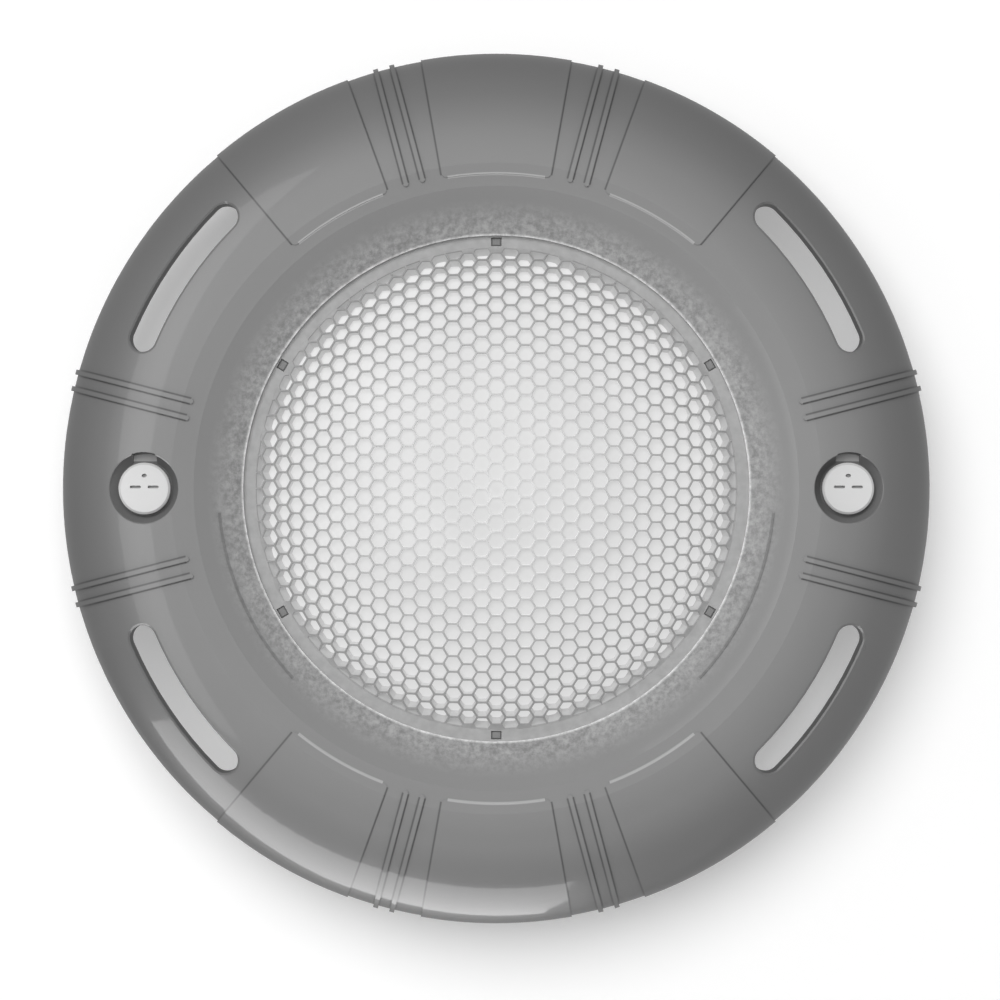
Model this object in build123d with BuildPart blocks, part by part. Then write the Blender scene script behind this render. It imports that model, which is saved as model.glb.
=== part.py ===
from build123d import *
from math import asin, cos, radians, sin, sqrt
import os

# Underwater pool light, surface mounted on a pool wall.
# The wall is the plane Y = 0 and the light looks along -Y, with +Z up and +X to the viewer's right.
# Every "depth" below is a distance in front of the wall, and every "radius" is measured from the
# light's axis, which is the Y axis. All sizes are in millimetres.

# ---------------------------------------------------------------- driving dimensions
running_gap = 0.3          # clearance between pieces that move apart

# bezel
rim_radius = 145.0
rim_back_depth = 2.5       # back edge of the skirt
rim_top_depth = 10.0       # where the skirt turns into the convex slope
crest_radius = 106.0
crest_depth = 46.0
crease_radius = 98.6
crease_depth = 45.1
bezel_wall = 3.0
opening_radius = 83.0      # the round opening that shows the lens guard
lip_front_depth = 37.4

# raised decoration of the bezel
relief_start_radius = 102.5
panel_height = 0.5
panel_corner = 2.0
centre_panel_half_angle = 10.0
side_panel_angles = (20.0, 40.0)
rib_height = 1.0
rib_width = 1.65
rib_spacing = 5.6
rib_angles = (15.0, 75.6)  # rib pairs, measured from the vertical on both sides
line_radius = 90.8
line_angles = (5.0, 43.0)   # thin moulded line below the horizontal on both sides
line_height = 0.35
line_width = 0.7

# four water slots
slot_radius = 125.6
slot_width = 9.1
slot_angles = (21.0, 47.0)
slot_collar_wall = 1.6
slot_collar_depth = 26.0
slot_chamfer = 0.7

# screw wells, with their caps, screws and towers
well_offset = 115.0
well_mouth_radius = 11.4
well_ledge_depth = 37.5
well_ledge_radius = 9.0    # the well narrows to this at its ledge
well_cone_height = 2.4
well_chamfer = 0.3
well_bore_radius = 7.2
well_floor_depth = 30.0
well_floor_thickness = 3.0
well_wall = 1.6
pry_notch_width = 7.8
pry_notch_reach = 11.9
cap_mark_depth = 1.6
cap_radius = 8.45
cap_thickness = 3.4
cap_plug_radius = 6.8
cap_plug_length = 2.6
cap_edge = 0.7
screw_radius = 2.9
screw_tip_depth = 10.0
screw_hole_radius = 3.3
screw_head_radius = 5.0
screw_head_height = 2.6
screw_recess = (4.6, 1.1, 1.7)
washer_radius = 6.0
washer_thickness = 1.0

# lens, the honeycomb guard over it and the guard's clips
guard_sphere_radius = 160.0
guard_apex_depth = 56.0
guard_edge_radius = 79.2   # where the dome meets the flat ring
guard_front_depth = 35.0
guard_back_depth = 31.0
guard_inner_apex_depth = 54.6
guard_inner_sphere_radius = 135.0
lens_gap = 0.2             # between the guard and the lens
lens_wall = 3.0
lens_seat_depth = 28.0
lens_flange_radius = 89.5
clip_count = 6
clip_circle = 81.0
clip_width = 3.4
clip_height = 2.8
clip_window_depth = 2.0
clip_first_angle = 30.0
gasket_inner_radius = 83.2
gasket_outer_radius = 87.2
gasket_thickness = 1.5

# rear housing
housing_radius = 85.0
housing_wall = 3.0
housing_back_depth = 5.0
flange_radius = 99.0
flange_thickness = 4.0
ledge_width = 4.0
ledge_depth = 20.0
ledge_thickness = 2.5
bezel_screw_circle = 94.5
bezel_screw_count = 4
bezel_boss_radius = 3.6
bezel_screw_radius = 1.45
bezel_screw_length = 10.0
bezel_screw_head_radius = 2.8
bezel_screw_head_height = 2.0
bezel_screw_recess = (3.4, 0.7, 1.1)       # length, width and depth of the cross recess

# light engine
sink_thickness = 2.0
sink_rim_height = 3.2
sink_rim_wall = 2.0
pad_radius = 72.0
pad_thickness = 0.8
board_radius = 73.0
board_thickness = 1.6
led_rings = ((6, 16.0), (12, 36.0), (18, 60.0))   # how many packages on each circle
led_size = 3.5
led_body_height = 0.7
led_dome_radius = 1.4
engine_screw_circle = 68.5
engine_screw_count = 6
engine_screw_radius = 1.2
engine_screw_head_radius = 2.4
engine_screw_head_height = 1.6
engine_screw_recess = (3.0, 0.6, 0.9)
engine_screw_hole = 1.6
wire_offset = 6.0
wire_radius = 0.9
wire_hole = 1.5

# driver electronics
driver_width = 112.0
driver_height = 84.0
driver_thickness = 1.6
driver_hole_x = 50.0
driver_hole_z = 36.0
driver_corner = 4.0
standoff_height = 4.0
standoff_radius = 3.2
capacitor_radius = 2.5
capacitor_length = 14.0
capacitor_places = (18.0, 27.0, 36.0)
coil_section = 2.4
coil_radius = 6.5
coil_place = (-28.0, 16.0)
rectifier_place = (-28.0, -10.0)
rectifier_size = (15.0, 10.0, 3.5)
chip_places = ((4.0, 14.0), (20.0, 20.0), (38.0, 14.0))
chip_size = (7.0, 5.0, 1.6)
terminal_place = (0.0, -35.0)
terminal_size = (22.0, 9.0, 5.4)
terminal_hole_radius = 1.5
terminal_hole_offset = 5.5
terminal_hole_depth = 15.5

# cable gland at the bottom of the housing
gland_depth = 15.7
gland_thread_radius = 6.0
gland_bore_radius = 3.6
gland_hex_radius = 8.0
gland_hex_length = 5.0
gland_spigot_length = 12.0
gland_spigot_radius = 5.9
gland_seal_radius = 5.0
gland_nut_length = 13.0
gland_nut_radius = 7.9
gland_boss_radius = 10.0

# wall bracket
bracket_radius = 92.0
bracket_thickness = 3.0
bracket_rim_height = 1.2
bracket_rim_wall = 3.0
bracket_cable_radius = 24.0
bracket_screw_circle = 70.0
bracket_screw_hole = 2.6
bracket_arm_width = 24.0
tower_radius = 8.0
insert_radius = 4.6
insert_bore = 3.2
insert_length = 13.0
gusset_thickness = 3.0
gusset_length = 22.0
gusset_height = 9.0


# ---------------------------------------------------------------- shared helpers
def facing(depth):
    """Plane parallel to the wall at a depth; its normal points to the viewer."""
    return Plane.XZ.offset(depth)


def keep(piece, name):
    """Label a finished piece and write its STEP file."""
    piece.label = name
    export_step(piece, f"parts/{name}.step")


def ring_between(inner_radius, outer_radius, back, front):
    """Flat ring round the light's axis between two depths."""
    with BuildPart() as ring:
        with BuildSketch(facing(back)):
            Circle(outer_radius)
            Circle(inner_radius, mode=Mode.SUBTRACT)
        extrude(amount=front - back)
    return ring.part


def cone_depth(radius):
    """Depth of the bezel's front face on the cone between the crease and the opening."""
    slope = (crease_depth - lip_front_depth) / (crease_radius - opening_radius)
    return lip_front_depth + slope * (radius - opening_radius)


def slope_depth(radius):
    """Depth of the bezel's front face on the convex slope outside the crest."""
    share = max(0, radius - crest_radius) / (rim_radius - crest_radius)
    return rim_top_depth + (crest_depth - rim_top_depth) * sqrt(1 - min(share, 1) ** 2)


def polar(radius, angle):
    """Point at a radius and an angle from +X, in a sketch that faces the viewer."""
    return (radius * cos(radians(angle)), radius * sin(radians(angle)))


os.makedirs("parts", exist_ok=True)


# ---------------------------------------------------------------- bezel
def front_skin(height):
    """Closed skin that lies from just under the bezel's front face to a height above it."""
    under = -0.6
    with BuildPart() as skin:
        with BuildSketch(Plane.XY):
            with BuildLine():
                levels = (height, under)
                for level in levels:
                    EllipticalCenterArc(
                        (crest_radius, -rim_top_depth),
                        rim_radius - crest_radius + level,
                        crest_depth - rim_top_depth + level,
                        start_angle=-90,
                        arc_size=90,
                    )
                    Polyline(
                        (opening_radius + 2, -cone_depth(opening_radius + 2) - level),
                        (crease_radius, -crease_depth - level),
                        (crest_radius, -crest_depth - level),
                    )
                    Line((rim_radius + level, -rim_top_depth), (rim_radius + level, -rim_back_depth))
                Line(
                    (opening_radius + 2, -cone_depth(opening_radius + 2) - height),
                    (opening_radius + 2, -cone_depth(opening_radius + 2) - under),
                )
                Line((rim_radius + height, -rim_back_depth), (rim_radius + under, -rim_back_depth))
            make_face()
        revolve(axis=Axis.Y)
    return skin.part


def panel_outline(start, end):
    """Sector with rounded inner corners, from the relief line to beyond the rim."""
    with BuildSketch(Plane.XZ) as outline:
        with BuildLine():
            far = rim_radius + 20
            Line(polar(relief_start_radius, start), polar(far, start))
            Line(polar(far, start), polar(far, end))
            Line(polar(far, end), polar(relief_start_radius, end))
            near_start = polar(relief_start_radius, start)
            near_end = polar(relief_start_radius, end)
            RadiusArc(near_start, near_end, -relief_start_radius)
        make_face()
        fillet(outline.vertices().sort_by(lambda v: v.center().length)[:2], radius=panel_corner)
    return outline.sketch


def raised_panels():
    """Six shallow raised panels, three at the top and three at the bottom."""
    half = centre_panel_half_angle
    near, far = side_panel_angles
    spans = ((-half, half), (near, far), (-far, -near))
    with BuildPart() as panels:
        add(front_skin(panel_height))
        with BuildSketch(Plane.XZ):
            for middle in (90, 270):
                for start, end in spans:
                    add(panel_outline(middle + start, middle + end))
        extrude(amount=crest_depth + 10, mode=Mode.INTERSECT)
    return panels.part


def raised_ribs():
    """Eight pairs of round-ended ribs that run over the crest to the rim."""
    length = rim_radius + 10 - relief_start_radius
    angles = [middle + side * lean for middle in (90, 270) for side in (-1, 1) for lean in rib_angles]
    with BuildPart() as ribs:
        add(front_skin(rib_height))
        with BuildSketch(Plane.XZ):
            for angle in angles:
                across = polar(rib_spacing / 2, angle + 90)
                start = polar(relief_start_radius + length / 2, angle)
                for side in (-1, 1):
                    middle = (start[0] + side * across[0], start[1] + side * across[1])
                    with Locations(middle):
                        SlotOverall(length, rib_width, rotation=angle)
        extrude(amount=crest_depth + 10, mode=Mode.INTERSECT)
    return ribs.part


def raised_lines():
    """Two thin moulded lines on the cone, one on each side below the horizontal."""
    start, end = line_angles
    with BuildPart() as lines:
        add(front_skin(line_height))
        with BuildSketch(Plane.XZ):
            for first in (180 + start, 360 - end):
                with BuildLine(mode=Mode.PRIVATE) as path:
                    CenterArc((0, 0), line_radius, first, end - start)
                SlotArc(path.wire(), line_width)
        extrude(amount=crest_depth + 10, mode=Mode.INTERSECT)
    return lines.part


def slot_outline(extra):
    """The four kidney-shaped slots, widened all round by an extra amount."""
    start, end = slot_angles
    end_angle = 57.3 * slot_width / 2 / slot_radius
    span = end - start - 2 * end_angle
    with BuildSketch(Plane.XZ) as outline:
        for first in (start, 180 - end, 180 + start, 360 - end):
            with BuildLine(mode=Mode.PRIVATE) as path:
                CenterArc((0, 0), slot_radius, first + end_angle, span)
            SlotArc(path.wire(), slot_width + 2 * extra)
    return outline.sketch


def at_slot_mouth(edge):
    """Whether an edge lies where a water slot breaks through the front face."""
    point = edge @ 0.5
    radius = sqrt(point.X**2 + point.Z**2)
    beside_slot = abs(abs(radius - slot_radius) - slot_width / 2) < 0.1 or abs(radius - slot_radius) < 1
    in_front_face = abs(-point.Y - slope_depth(radius)) < 0.1
    first = slot_radius * sin(radians(slot_angles[0] - 1))
    return beside_slot and in_front_face and abs(point.Z) > first and abs(point.X) > first


def at_well_mouth(edge):
    """Whether an edge lies where the straight wall of a screw well breaks through the front face."""
    point = edge @ 0.5
    distance = sqrt((abs(point.X) - well_offset) ** 2 + point.Z**2)
    above_cone = -point.Y > well_ledge_depth + well_cone_height + 0.3
    return abs(distance - well_mouth_radius) < 0.05 and above_cone


panels = raised_panels()
ribs = raised_ribs()
lines = raised_lines()
wells = ((-well_offset, 0), (well_offset, 0))

with BuildPart() as bezel:
    # shell: convex outer slope, crest, crease and shallow inner cone
    with BuildSketch(Plane.XY):
        with BuildLine():
            outer_rise = crest_depth - rim_top_depth
            EllipticalCenterArc(
                (crest_radius, -rim_top_depth), rim_radius - crest_radius, outer_rise,
                start_angle=-90, arc_size=90,
            )
            EllipticalCenterArc(
                (crest_radius, -rim_top_depth), rim_radius - crest_radius - bezel_wall,
                outer_rise - bezel_wall, start_angle=-90, arc_size=90,
            )
            Polyline(
                (crest_radius, -crest_depth),
                (crease_radius, -crease_depth),
                (opening_radius, -lip_front_depth),
                (opening_radius, -guard_front_depth),
                (lens_flange_radius, -guard_front_depth),
                (crease_radius, -crease_depth + bezel_wall),
                (crest_radius, -crest_depth + bezel_wall),
            )
            Polyline(
                (rim_radius, -rim_top_depth),
                (rim_radius, -rim_back_depth),
                (rim_radius - bezel_wall, -rim_back_depth),
                (rim_radius - bezel_wall, -rim_top_depth),
            )
        make_face()
    revolve(axis=Axis.Y)
    # bosses behind the shell, drawn long and trimmed by the front envelope
    with BuildSketch(facing(slot_collar_depth)):
        add(slot_outline(slot_collar_wall))
    extrude(amount=crest_depth - slot_collar_depth)
    with BuildSketch(facing(well_floor_depth - well_floor_thickness)):
        with Locations(*wells):
            Circle(well_mouth_radius + well_wall)
    extrude(amount=crest_depth - well_floor_depth + well_floor_thickness)
    with BuildSketch(facing(lens_seat_depth)):
        with PolarLocations(bezel_screw_circle, bezel_screw_count, start_angle=45):
            Circle(bezel_boss_radius)
    extrude(amount=crest_depth - lens_seat_depth)
    with BuildSketch(Plane.XY):
        with BuildLine():
            EllipticalCenterArc(
                (crest_radius, -rim_top_depth), rim_radius - crest_radius, outer_rise,
                start_angle=-90, arc_size=90,
            )
            Polyline(
                (crest_radius, -crest_depth),
                (crease_radius, -crease_depth),
                (opening_radius, -lip_front_depth),
                (opening_radius, -rim_back_depth),
                (rim_radius, -rim_back_depth),
                (rim_radius, -rim_top_depth),
            )
        make_face()
    revolve(axis=Axis.Y, mode=Mode.INTERSECT)
    # raised decoration
    add(panels)
    add(ribs)
    add(lines)
    # openings: water slots, screw wells with pry notches, screw holes
    with BuildSketch(facing(0)):
        add(slot_outline(0))
    extrude(amount=crest_depth + 10, mode=Mode.SUBTRACT)
    with BuildSketch(facing(well_ledge_depth + well_cone_height)):
        with Locations(*wells):
            Circle(well_mouth_radius)
    extrude(amount=crest_depth, mode=Mode.SUBTRACT)
    with Locations(*[Plane.XZ * Location((x, z, well_ledge_depth + well_cone_height / 2)) for x, z in wells]):
        Cone(well_ledge_radius, well_mouth_radius, well_cone_height, mode=Mode.SUBTRACT)
    with BuildSketch(facing(well_floor_depth)):
        with Locations(*wells):
            Circle(well_bore_radius)
    extrude(amount=crest_depth, mode=Mode.SUBTRACT)
    with BuildSketch(facing(0)):
        with Locations(*wells):
            Circle(screw_hole_radius)
    extrude(amount=crest_depth, mode=Mode.SUBTRACT)
    for x, z in wells:
        with BuildSketch(facing(well_ledge_depth)):
            with Locations((x, z)):
                Circle(pry_notch_reach)
            with Locations((x, z + pry_notch_reach / 2)):
                Rectangle(pry_notch_width, pry_notch_reach, mode=Mode.INTERSECT)
        extrude(amount=crest_depth, mode=Mode.SUBTRACT)
    with BuildSketch(facing(lens_seat_depth)):
        with PolarLocations(bezel_screw_circle, bezel_screw_count, start_angle=45):
            Circle(bezel_screw_radius + 0.05)
    extrude(amount=bezel_screw_length - 2, mode=Mode.SUBTRACT)
    chamfer(bezel.edges().filter_by(at_slot_mouth), length=slot_chamfer)
    chamfer(bezel.edges().filter_by(at_well_mouth), length=well_chamfer)
keep(bezel.part, "bezel")


# ---------------------------------------------------------------- lens, guard and seal
def dome_meets(radius, apex_depth, depth):
    """Distance from the light's axis at which a dome reaches a depth."""
    return sqrt(radius**2 - (depth - apex_depth + radius) ** 2)


def dome_arc(radius, apex_depth, reach):
    """Arc of a dome's profile, from its apex to a distance from the light's axis."""
    half = asin(reach / radius) / 2
    centre = radius - apex_depth
    ThreePointArc(
        (0, -apex_depth),
        (radius * sin(half), centre - radius * cos(half)),
        (reach, centre - radius * cos(2 * half)),
    )


guard_reach = dome_meets(guard_sphere_radius, guard_apex_depth, guard_front_depth)
guard_inner_reach = dome_meets(guard_inner_sphere_radius, guard_inner_apex_depth, guard_back_depth)

# domed guard: a plain shell here that carries the honeycomb, with six windows in its flat ring
with BuildPart() as honeycomb_guard:
    with BuildSketch(Plane.XY):
        with BuildLine():
            dome_arc(guard_sphere_radius, guard_apex_depth, guard_reach)
            Polyline(
                (guard_reach, -guard_front_depth),
                (lens_flange_radius, -guard_front_depth),
                (lens_flange_radius, -guard_back_depth),
                (guard_inner_reach, -guard_back_depth),
            )
            dome_arc(guard_inner_sphere_radius, guard_inner_apex_depth, guard_inner_reach)
            Line((0, -guard_inner_apex_depth), (0, -guard_apex_depth))
        make_face()
    revolve(axis=Axis.Y)
    with BuildSketch(facing(guard_front_depth - clip_window_depth)):
        with PolarLocations(clip_circle, clip_count, start_angle=clip_first_angle):
            Rectangle(clip_height, clip_width)
    extrude(amount=2 * clip_window_depth, mode=Mode.SUBTRACT)
keep(honeycomb_guard.part, "honeycomb_guard")

# snap clips that sit in the windows, just under the ring's face
clip_margin = 0.15
clip_sink = 0.6
with BuildPart() as guard_clips:
    with BuildSketch(facing(guard_front_depth - clip_window_depth)):
        with PolarLocations(clip_circle, clip_count, start_angle=clip_first_angle):
            Rectangle(clip_height - 2 * clip_margin, clip_width - 2 * clip_margin)
    extrude(amount=clip_window_depth - clip_sink)
    chamfer(guard_clips.faces().sort_by(Axis.Y)[:clip_count].edges(), length=0.35)
keep(guard_clips.part, "guard_clips")

lens_sphere_radius = guard_inner_sphere_radius - lens_gap
lens_apex_depth = guard_inner_apex_depth - lens_gap
lens_reach = dome_meets(lens_sphere_radius, lens_apex_depth, guard_back_depth)
lens_mouth = dome_meets(lens_sphere_radius - lens_wall, lens_apex_depth - lens_wall, lens_seat_depth)

with BuildPart() as lens:
    with BuildSketch(Plane.XY):
        with BuildLine():
            dome_arc(lens_sphere_radius, lens_apex_depth, lens_reach)
            Polyline(
                (lens_reach, -guard_back_depth),
                (lens_flange_radius, -guard_back_depth),
                (lens_flange_radius, -lens_seat_depth),
                (lens_mouth, -lens_seat_depth),
            )
            dome_arc(lens_sphere_radius - lens_wall, lens_apex_depth - lens_wall, lens_mouth)
            Line((0, -lens_apex_depth + lens_wall), (0, -lens_apex_depth))
        make_face()
    revolve(axis=Axis.Y)
keep(lens.part, "lens")

gasket_back = lens_seat_depth - gasket_thickness
keep(ring_between(gasket_inner_radius, gasket_outer_radius, gasket_back, lens_seat_depth), "lens_gasket")


# ---------------------------------------------------------------- rear housing
housing_bore = housing_radius - housing_wall
housing_floor = housing_back_depth + housing_wall
flange_back_depth = lens_seat_depth - flange_thickness
ledge_radius = housing_bore - ledge_width
gland_face = housing_radius + 2
gland_inner_face = ledge_radius - 0.5
gland_inner_end = ledge_radius - 4


def gland_plane(distance):
    """Plane across the cable gland at a distance below the light's axis, facing down."""
    return Plane(origin=(0, -gland_depth, -distance), x_dir=(1, 0, 0), z_dir=(0, 0, -1))


with BuildPart() as rear_housing:
    with BuildSketch(Plane.XY):
        with BuildLine():
            Polyline(
                (0, -housing_back_depth),
                (housing_radius - 3, -housing_back_depth),
                (housing_radius, -housing_back_depth - 3),
                (housing_radius, -flange_back_depth),
                (flange_radius, -flange_back_depth),
                (flange_radius, -lens_seat_depth),
                (gasket_outer_radius, -lens_seat_depth),
                (gasket_outer_radius, -lens_seat_depth + gasket_thickness),
                (gasket_inner_radius, -lens_seat_depth + gasket_thickness),
                (gasket_inner_radius, -lens_seat_depth),
                (housing_bore, -lens_seat_depth),
                (housing_bore, -ledge_depth),
                (ledge_radius, -ledge_depth),
                (ledge_radius, -ledge_depth + ledge_thickness),
                (housing_bore, -ledge_depth + ledge_thickness),
                (housing_bore, -housing_floor),
                (0, -housing_floor),
                (0, -housing_back_depth),
            )
        make_face()
    revolve(axis=Axis.Y)
    # boss for the cable gland, with flat faces inside and outside the round wall
    with BuildSketch(gland_plane(gland_inner_face)):
        Circle(gland_boss_radius)
    extrude(amount=gland_face - gland_inner_face)
    with BuildSketch(gland_plane(gland_inner_face)):
        Circle(gland_thread_radius + 0.1)
    extrude(amount=gland_face - gland_inner_face, mode=Mode.SUBTRACT)
    # clearance holes for the bezel screws
    with BuildSketch(facing(flange_back_depth)):
        with PolarLocations(bezel_screw_circle, bezel_screw_count, start_angle=45):
            Circle(bezel_screw_radius + 0.25)
    extrude(amount=flange_thickness, mode=Mode.SUBTRACT)
keep(rear_housing.part, "rear_housing")

recess_length, recess_width, recess_depth = bezel_screw_recess
with BuildPart() as bezel_screws:
    with BuildSketch(facing(flange_back_depth - bezel_screw_head_height)):
        with PolarLocations(bezel_screw_circle, bezel_screw_count, start_angle=45):
            Circle(bezel_screw_head_radius)
    extrude(amount=bezel_screw_head_height)
    with BuildSketch(facing(flange_back_depth)):
        with PolarLocations(bezel_screw_circle, bezel_screw_count, start_angle=45):
            Circle(bezel_screw_radius)
    extrude(amount=bezel_screw_length)
    with BuildSketch(facing(flange_back_depth - bezel_screw_head_height)):
        with PolarLocations(bezel_screw_circle, bezel_screw_count, start_angle=45):
            Rectangle(recess_length, recess_width)
            Rectangle(recess_width, recess_length)
    extrude(amount=recess_depth, mode=Mode.SUBTRACT)
keep(bezel_screws.part, "bezel_screws")


# ---------------------------------------------------------------- light engine
pad_depth = ledge_depth + sink_thickness
board_depth = pad_depth + pad_thickness
led_depth = board_depth + board_thickness

with BuildPart() as heat_sink:
    with BuildSketch(facing(ledge_depth)):
        Circle(ledge_radius + 3)
    extrude(amount=sink_thickness)
    with BuildSketch(facing(ledge_depth)):
        Circle(ledge_radius + 3)
        Circle(ledge_radius + 3 - sink_rim_wall, mode=Mode.SUBTRACT)
    extrude(amount=sink_thickness + sink_rim_height)
    with BuildSketch(facing(ledge_depth)):
        with Locations((0, -ledge_radius - 3)):
            Rectangle(2 * gland_boss_radius, 1.5 * gland_boss_radius)
        with PolarLocations(engine_screw_circle, engine_screw_count):
            Circle(engine_screw_radius + 0.1)
        with Locations((-wire_offset, 0), (wire_offset, 0)):
            Circle(wire_hole)
    extrude(amount=sink_thickness + sink_rim_height, mode=Mode.SUBTRACT)
keep(heat_sink.part, "heat_sink")

with BuildPart() as thermal_pad:
    with BuildSketch(facing(pad_depth)):
        Circle(pad_radius)
        with PolarLocations(engine_screw_circle, engine_screw_count):
            Circle(engine_screw_hole, mode=Mode.SUBTRACT)
        with Locations((-wire_offset, 0), (wire_offset, 0)):
            Circle(wire_hole, mode=Mode.SUBTRACT)
    extrude(amount=pad_thickness)
keep(thermal_pad.part, "thermal_pad")

with BuildPart() as led_board:
    with BuildSketch(facing(board_depth)):
        Circle(board_radius)
        with PolarLocations(engine_screw_circle, engine_screw_count):
            Circle(engine_screw_hole, mode=Mode.SUBTRACT)
    extrude(amount=board_thickness)
keep(led_board.part, "led_board")

with BuildPart() as led_packages:
    with BuildSketch(facing(led_depth)):
        for count, circle in led_rings:
            with PolarLocations(circle, count):
                Rectangle(led_size, led_size)
    extrude(amount=led_body_height)
    with BuildSketch(facing(led_depth + led_body_height)):
        for count, circle in led_rings:
            with PolarLocations(circle, count):
                Circle(led_dome_radius)
    extrude(amount=led_body_height, taper=20)
keep(led_packages.part, "led_packages")

recess_length, recess_width, recess_depth = engine_screw_recess
with BuildPart() as engine_screws:
    with BuildSketch(facing(led_depth)):
        with PolarLocations(engine_screw_circle, engine_screw_count):
            Circle(engine_screw_head_radius)
    extrude(amount=engine_screw_head_height)
    with BuildSketch(facing(ledge_depth)):
        with PolarLocations(engine_screw_circle, engine_screw_count):
            Circle(engine_screw_radius)
    extrude(amount=led_depth - ledge_depth)
    with BuildSketch(facing(led_depth + engine_screw_head_height - recess_depth)):
        with PolarLocations(engine_screw_circle, engine_screw_count):
            Rectangle(recess_length, recess_width)
            Rectangle(recess_width, recess_length)
    extrude(amount=recess_depth, mode=Mode.SUBTRACT)
keep(engine_screws.part, "engine_screws")


# ---------------------------------------------------------------- driver electronics
driver_back = housing_floor + standoff_height
driver_front = driver_back + driver_thickness
driver_holes = [(x, z) for x in (-driver_hole_x, driver_hole_x) for z in (-driver_hole_z, driver_hole_z)]

with BuildPart() as board_standoffs:
    with BuildSketch(facing(housing_floor)):
        with Locations(*driver_holes):
            RegularPolygon(standoff_radius, 6)
    extrude(amount=standoff_height)
keep(board_standoffs.part, "board_standoffs")

with BuildPart() as driver_board:
    with BuildSketch(facing(driver_back)):
        RectangleRounded(driver_width, driver_height, radius=driver_corner)
        with Locations(*driver_holes):
            Circle(standoff_radius / 2, mode=Mode.SUBTRACT)
    extrude(amount=driver_thickness)
keep(driver_board.part, "driver_board")

with BuildPart() as capacitors:
    for x in capacitor_places:
        with BuildSketch(Plane(origin=(x, -driver_front - capacitor_radius, -20), z_dir=(0, 0, 1))):
            Circle(capacitor_radius)
        extrude(amount=capacitor_length)
keep(capacitors.part, "capacitors")

with BuildPart() as inductor:
    with BuildSketch(Plane.XY):
        with Locations((coil_radius, -driver_front - coil_section)):
            Circle(coil_section)
    revolve(axis=Axis.Y)
keep(Pos(coil_place[0], 0, coil_place[1]) * inductor.part, "inductor")

with BuildPart() as rectifier:
    with BuildSketch(facing(driver_front)):
        with Locations(rectifier_place):
            RectangleRounded(rectifier_size[0], rectifier_size[1], radius=0.6)
    extrude(amount=rectifier_size[2])
    chamfer(rectifier.faces().sort_by(Axis.Y)[0].edges(), length=0.4)
keep(rectifier.part, "rectifier")

with BuildPart() as driver_chips:
    with BuildSketch(facing(driver_front)):
        with Locations(*chip_places):
            Rectangle(chip_size[0], chip_size[1])
    extrude(amount=chip_size[2])
keep(driver_chips.part, "driver_chips")

with BuildPart() as terminal_block:
    with BuildSketch(facing(driver_front)):
        with Locations(terminal_place):
            Rectangle(terminal_size[0], terminal_size[1])
    extrude(amount=terminal_size[2])
    with BuildSketch(gland_plane(-terminal_place[1] - terminal_size[1] / 2)):
        for x in (-terminal_hole_offset, terminal_hole_offset):
            with Locations((x, terminal_hole_depth - gland_depth)):
                Circle(terminal_hole_radius)
    extrude(amount=terminal_size[1], mode=Mode.SUBTRACT)
keep(terminal_block.part, "terminal_block")

with BuildPart() as led_wires:
    with BuildSketch(facing(driver_front)):
        with Locations((-wire_offset, 0), (wire_offset, 0)):
            Circle(wire_radius)
    extrude(amount=board_depth - driver_front)
keep(led_wires.part, "led_wires")


# ---------------------------------------------------------------- cable gland
gland_step = gland_face + gland_hex_length
gland_end = gland_step + gland_spigot_length
seal_length = 7.0
oring_thickness = 0.9

with BuildPart() as gland_body:
    with BuildSketch(gland_plane(gland_face)):
        RegularPolygon(gland_hex_radius, 6)
    extrude(amount=gland_hex_length)
    with BuildSketch(gland_plane(gland_inner_end)):
        Circle(gland_thread_radius)
    extrude(amount=gland_step - gland_inner_end)
    with BuildSketch(gland_plane(gland_step)):
        Circle(gland_spigot_radius)
    extrude(amount=gland_spigot_length)
    with BuildSketch(gland_plane(gland_inner_end)):
        Circle(gland_bore_radius)
    extrude(amount=gland_end - gland_inner_end, mode=Mode.SUBTRACT)
    with BuildSketch(gland_plane(gland_end - seal_length)):
        Circle(gland_seal_radius)
    extrude(amount=seal_length, mode=Mode.SUBTRACT)
    with BuildSketch(gland_plane(gland_face)):
        Circle(gland_thread_radius + 1.1)
        Circle(gland_thread_radius, mode=Mode.SUBTRACT)
    extrude(amount=oring_thickness, mode=Mode.SUBTRACT)
keep(gland_body.part, "gland_body")

with BuildPart() as gland_oring:
    with BuildSketch(gland_plane(gland_face)):
        Circle(gland_thread_radius + 1.05)
        Circle(gland_thread_radius + 0.05, mode=Mode.SUBTRACT)
    extrude(amount=oring_thickness)
keep(gland_oring.part, "gland_oring")

with BuildPart() as gland_seal:
    with BuildSketch(gland_plane(gland_end - seal_length)):
        Circle(gland_seal_radius)
        Circle(gland_bore_radius, mode=Mode.SUBTRACT)
    extrude(amount=seal_length)
keep(gland_seal.part, "gland_seal")

with BuildPart() as gland_locknut:
    with BuildSketch(gland_plane(gland_inner_end + 0.2)):
        RegularPolygon(gland_hex_radius, 6)
        Circle(gland_thread_radius + 0.05, mode=Mode.SUBTRACT)
    extrude(amount=gland_inner_face - gland_inner_end - 0.2)
keep(gland_locknut.part, "gland_locknut")

with BuildPart() as gland_nut:
    with BuildSketch(gland_plane(gland_step + running_gap)):
        RegularPolygon(gland_nut_radius, 6)
    extrude(amount=gland_nut_length + 1)
    chamfer(gland_nut.faces().sort_by(Axis.Z)[0].edges(), length=1.2)
    with BuildSketch(gland_plane(gland_step)):
        Circle(gland_spigot_radius + running_gap)
    extrude(amount=gland_spigot_length + running_gap, mode=Mode.SUBTRACT)
    with BuildSketch(gland_plane(gland_step)):
        Circle(gland_bore_radius + running_gap)
    extrude(amount=gland_nut_length + 3, mode=Mode.SUBTRACT)
keep(gland_nut.part, "gland_nut")


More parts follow.
